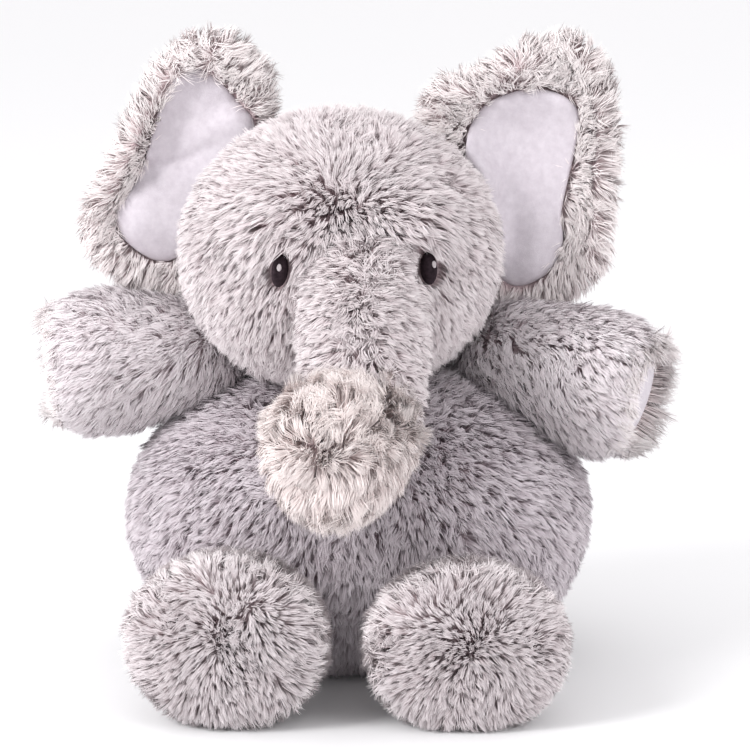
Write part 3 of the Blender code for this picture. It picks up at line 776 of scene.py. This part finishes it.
EARS = (("left", EAR_LEFT, LINING_LEFT, 40), ("right", EAR_RIGHT, LINING_RIGHT, 45))
for side, ear_shape, lining_shape, seed in EARS:
    skin, middle = flap(f"ear_{side}_skin", rounded(ear_shape), EAR_LAYERS)
    finish_skin(skin, f"ear_{side}", backing, [f"ear_{side}_back", f"ear_{side}_wadding"])
    inner = rounded(lining_shape)
    lining, _ = flap(f"ear_{side}_velboa", inner, LINING_LAYERS)
    for start, end, forward, reach in LINING_FOLDS[side]:
        crease = [here(x, EAR_FRONT, z) for x, z in (start, end)]
        fold(lining, *crease, -forward * MM, reach * MM)
    finish_skin(lining, f"ear_{side}", velboa, [f"ear_{side}_lining"], 2)
    centre = np.array(here(middle.x, EAR_FRONT + 5, middle.y))

    def outwards(root, normal):
        """Combed out from the middle of the ear to its edge, and a little down."""
        lay = root - centre
        lay[:, 1] = 0
        return unit(lay) + [0, 0, -0.2]

    def round_lining(root, normal):
        """The back and the rim: all of the ear but what the lining covers."""
        return ~(inside_outline(root, inner) & (normal[:, 1] < 0.2))

    sow(f"ear_{side}_pile", skin, f"ear_{side}", painted_lit_ear_pile, 320, 12.0, outwards, round_lining, lift=0.85,
        gather=0.3, swirl=1.2, tousle=0.35, seed=seed, lit=(0, -0.3, 0.4))

# ---- Arms ------------------------------------------------------------------------------------------
# Stuffed cones from a narrow shoulder to a thick paw, with a round velboa pad sewn into the end.
ARM_PROFILE = ((10, 21), (26, 25), (42, 28), (52, 26.5), (59.5, 21.5))
ARM_ENDS = {"left": here(138, -21, 121), "right": here(-141, 4, 133)}
PAD_PROFILE = ((60, 3), (61, 15), (63, 18), (64.5, 17.5), (65.6, 12), (66.2, 6), (66.4, 2))
PAD_AHEAD = 62 * MM                      # how far down the arm the pad lies
# The fringe round the paw is painted paler still: painted light where it stands in the arm's shade.
painted_lit_fringe_pile = pile_finish("painted_lit_fringe_pile", (0.70, 0.55, 0.56), (0.80, 0.71, 0.715), (0.93, 0.88, 0.88), 0.10)
# The arms' pile is their own grey, painted paler than the head's: painted light for the lamp's light on
# the arms.
painted_lit_arm_pile = pile_finish("painted_lit_arm_pile", (0.56, 0.395, 0.43), (0.73, 0.65, 0.68), (0.92, 0.87, 0.89), 0.22)
for side, seed in (("left", 50), ("right", 55)):
    x = 1 if side == "left" else -1
    shoulder = here(71 * x, 0, 139)
    stations = [(-19, 4), (-15, 12), (-4, 18), *ARM_PROFILE, (62.5, 12), (63, 3)]
    arm = stuffed_tube(f"arm_{side}_skin", shoulder, ARM_ENDS[side], stations)
    finish_skin(arm, f"arm_{side}", backing, [f"arm_{side}_cover", f"arm_{side}_stuffing"])
    way = np.array((ARM_ENDS[side] - shoulder).normalized())
    pad_middle = np.array(shoulder) + way * PAD_AHEAD

    def beside_pad(root):
        """How near a root is to the pad's edge, how far to its far side, and the way out from it."""
        off = root - pad_middle
        ahead = off @ way
        out = off - ahead[:, None] * way
        return np.clip((ahead + 10 * MM) / (8 * MM), 0, 1), np.clip(out[:, 1] / (12 * MM), -1, 1), out

    def along_arm(root, normal):
        """Combed down the arm and towards the floor, and round the paw out from the pad."""
        edge, _, out = beside_pad(root)
        flare = edge * (0.55 if way[0] > 0 else 0.3)
        lay = np.tile(way, (len(root), 1)) + unit(out) * flare[:, None]
        lay[:, 2] -= 0.5 * (1 - edge)
        return lay

    def not_pad(root, normal):
        """True on the arm and on the rim of the paw."""
        return (normal @ way < 0.80) | (np.linalg.norm(beside_pad(root)[2], axis=1) > 18.5 * MM)

    def arm_length(root):
        """Longest in the fringe round the pad, on its far side."""
        edge, far, _ = beside_pad(root)
        return 11.0 + edge * (5.0 + 4.5 * far)

    def arm_lift(root):
        """The near side of the fringe lies back from the pad, and the far side stands out past it."""
        edge, far, _ = beside_pad(root)
        return 0.75 + edge * (0.25 + np.where(far > 0, 0.1, 0.6) * far)

    def over_pad(points):
        """True in front of the pad, where no strand may lie."""
        off = points - pad_middle
        ahead = off @ way
        around = np.linalg.norm(off - ahead[:, None] * way, axis=1)
        return (ahead > -1 * MM) & (around < 15.5 * MM)

    sow(f"arm_{side}_pile", arm, f"arm_{side}", painted_lit_arm_pile, 330, arm_length, along_arm,
        lambda p, n: not_pad(p, n) & (beside_pad(p)[0] <= 0.6), lift=arm_lift, gather=0.38, seed=seed,
        bare=over_pad)
    sow(f"paw_{side}_fringe", arm, f"arm_{side}", painted_lit_fringe_pile, 620, arm_length, along_arm,
        lambda p, n: not_pad(p, n) & (beside_pad(p)[0] > 0.4), lift=arm_lift, gather=0.38, seed=seed + 2,
        bare=over_pad, lit=(way + [0, -0.5, 0.6]) * 2)
    pad = stuffed_tube(f"paw_pad_{side}_velboa", shoulder, ARM_ENDS[side], PAD_PROFILE, 32)
    finish_skin(pad, f"arm_{side}", velboa, [f"paw_pad_{side}"])

# ---- Legs ------------------------------------------------------------------------------------------
# Short stuffed drums that point forward, each closed by a round furry sole.
LEG_PROFILE = ((8, 19), (18, 28), (27, 35), (38, 37), (48, 36.5), (54, 32))
LEG_FLATTER = 0.84                       # a leg is this much lower than it is wide
foot_pile = pile_finish("foot_pile", (0.48, 0.33, 0.345), (0.66, 0.58, 0.595), (0.90, 0.845, 0.855), 0.2)
sole_pile = pile_finish("sole_pile", (0.36, 0.23, 0.245), (0.48, 0.40, 0.415), (0.83, 0.77, 0.785), 0.34)
for side, seed, raised, degrees in (("left", 60, 0, 3), ("right", 65, 3, -7)):
    x = 1 if side == "left" else -1
    hip = here(47 * x, -75, 33 + raised)
    splay = math.radians(degrees)
    toe = hip + Vector((math.sin(splay), -math.cos(splay), 0)) * 60 * MM
    stations = [(-10, 3), (-8, 9), (0, 14), *LEG_PROFILE, (56, 20), (57, 8), (57.2, 2)]
    leg = stuffed_tube(f"leg_{side}_skin", hip, toe, stations, 28)
    for vert in leg.data.vertices:
        vert.co.z = hip.z + (vert.co.z - hip.z) * LEG_FLATTER
    finish_skin(leg, f"leg_{side}", backing,
                [f"leg_{side}_cover", f"leg_{side}_stuffing", f"foot_sole_{side}"])
    way = np.array((toe - hip).normalized())
    sole = np.array(hip) + way * 57 * MM

    def foot_length(root):
        """The fringe round the sole is longest on top."""
        edge = np.clip(((root - sole) @ way + 20 * MM) / (18 * MM), 0, 1)
        return 10.0 + 2.5 * edge * np.clip((root[:, 2] - sole[2]) / (15 * MM) + 0.3, 0, 1)

    def out_over_foot(root, normal):
        """Combed down the leg, and on the sole out from its middle."""
        off = root - sole
        flat = off - (off @ way)[:, None] * way
        facing = np.clip(normal @ way * 2.5, 0, 1)[:, None]
        return unit(flat) * facing + way * (0.6 - 0.4 * facing) + [0, 0, -0.15]

    def standing(root):
        """The pile stands straight up in the middle of the sole."""
        return 1.15 + 0.3 * near_to(root, sole, 10)

    sow(f"leg_{side}_pile", leg, f"leg_{side}", foot_pile, 310, foot_length, out_over_foot,
        lambda p, n: n @ way < 0.6, gather=0.35, seed=seed)
    sow(f"sole_{side}_pile", leg, f"leg_{side}", sole_pile, 420, 9.5, out_over_foot,
        lambda p, n: n @ way >= 0.6, lift=standing, swirl=1.5, seed=seed + 1)

# ---- Tail ------------------------------------------------------------------------------------------
# A thin stuffed tube of the same pile, sewn into the back of the seat.
TAIL_PROFILE = ((-4, 1.5), (-2, 3.5), (4, 4), (20, 3.4), (30, 3), (32, 1.2))
tail = stuffed_tube("tail_skin", here(0, 82, 48), here(0, 100, 20), TAIL_PROFILE, 12)
finish_skin(tail, "tail", backing, ["tail_cover", "tail_stuffing"])
sow("tail_pile", tail, "tail", grey_pile, 320, 9.0,
    lambda p, n: np.tile([0.0, 0.45, -1.0], (len(p), 1)), lift=0.4, seed=70)
